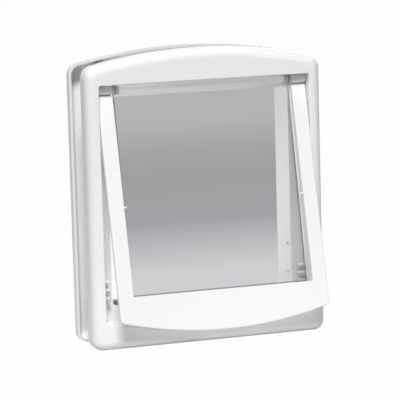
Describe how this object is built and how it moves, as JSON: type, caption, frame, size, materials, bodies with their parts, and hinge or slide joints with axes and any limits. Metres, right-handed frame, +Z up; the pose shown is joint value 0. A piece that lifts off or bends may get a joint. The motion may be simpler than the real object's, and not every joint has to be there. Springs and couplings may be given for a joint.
{
  "type": "cat flap",
  "caption": "White two-frame cat flap for a house door, with a clear hinged panel inside a white three-sided outer leaf that swings on the same pins.",
  "frame": {"origin": "middle of the door's cut-out, in the plane of the door's outdoor face", "axes": "+X across the door to the right seen from outdoors, +Y from outdoors to indoors, +Z up"},
  "size_m": [0.198, 0.0968, 0.2359],
  "materials": {
    "white_plastic": "satin white moulding",
    "clear_plastic": "clear, faintly smoky",
    "nylon": "natural white nylon",
    "brush_pile": "grey draught-brush pile",
    "steel": "zinc-plated steel",
    "magnet": "sintered ferrite"
  },
  "bodies": {
    "frame": {"front_frame": "white_plastic", "rear_frame": "white_plastic", "hinge_pin_left": "nylon", "hinge_pin_right": "nylon", "sill_brush": "brush_pile", "keeper_plate": "steel", "fixing_screws": "steel", "screw_cap_lower_left": "white_plastic", "screw_cap_lower_right": "white_plastic", "screw_cap_upper_left": "white_plastic", "screw_cap_upper_right": "white_plastic"},
    "surround": {"flap_surround": "white_plastic", "flap_magnet": "magnet"},
    "panel": {"flap_panel": "clear_plastic", "barrel_bush_left": "nylon", "barrel_bush_right": "nylon"}
  },
  "joints": [
    {"name": "surround_swing", "type": "hinge", "parent": "frame", "child": "surround", "pos_m": [0, -0.0062, 0.09555], "axis": [-1, 0, 0], "range_deg": [-13.75, 66.25]},
    {"name": "panel_swing", "type": "hinge", "parent": "surround", "child": "panel", "pos_m": [0, -0.0062, 0.09555], "axis": [1, 0, 0], "range_deg": [-2.35, 88]}
  ]
}
